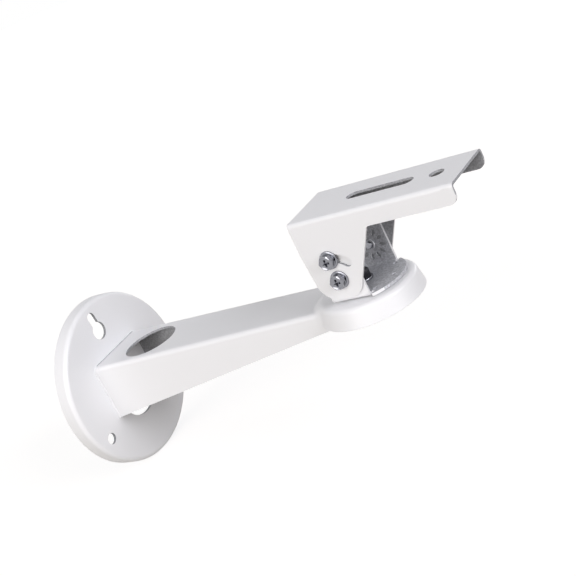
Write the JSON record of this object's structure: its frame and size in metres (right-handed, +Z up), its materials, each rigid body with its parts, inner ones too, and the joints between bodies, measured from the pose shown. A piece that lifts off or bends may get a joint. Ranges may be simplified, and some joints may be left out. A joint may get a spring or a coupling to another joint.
{
  "type": "projector wall mount",
  "caption": "Wall bracket of pressed and folded white steel: round wall plate, tapered hollow arm, and a swivelling, tilting slotted tray for a projector.",
  "frame": {"origin": "centre of the round wall plate's back, in the plane of the wall", "axes": "+X out from the wall along the arm, +Z up, +Y to the side that lies on the right when one faces the wall"},
  "size_m": [0.303, 0.1146, 0.1397],
  "materials": {
    "powder_coat": "semi-gloss white powder coat on sheet steel",
    "zinc_steel": "bright zinc plating",
    "black_oxide": "black oxide"
  },
  "bodies": {
    "wall_arm": {"wall_plate": "powder_coat", "arm": "powder_coat", "head_cap": "powder_coat", "swivel_bolt": "black_oxide", "swivel_upper_washer": "zinc_steel", "swivel_spacer": "zinc_steel", "swivel_lower_washer": "zinc_steel", "swivel_spring_washer": "zinc_steel", "swivel_nut": "zinc_steel"},
    "swivel_bracket": {"u_bracket": "powder_coat", "pivot_bolt_right": "zinc_steel", "pivot_spring_washer_right": "zinc_steel", "pivot_flat_washer_right": "zinc_steel", "pivot_bolt_left": "zinc_steel", "pivot_spring_washer_left": "zinc_steel", "pivot_flat_washer_left": "zinc_steel", "lock_bolt_right": "zinc_steel", "lock_spring_washer_right": "zinc_steel", "lock_flat_washer_right": "zinc_steel", "lock_bolt_left": "zinc_steel", "lock_spring_washer_left": "zinc_steel", "lock_flat_washer_left": "zinc_steel"},
    "tilting_tray": {"tray": "powder_coat"}
  },
  "joints": [
    {"name": "swivel", "type": "hinge", "parent": "wall_arm", "child": "swivel_bracket", "pos_m": [0.215, 0, 0.0286], "axis": [0, 0, 1], "continuous": true},
    {"name": "tilt", "type": "hinge", "parent": "swivel_bracket", "child": "tilting_tray", "pos_m": [0.216, 0, 0.0444], "axis": [0, 1, 0], "range_deg": [-50, 8]}
  ]
}
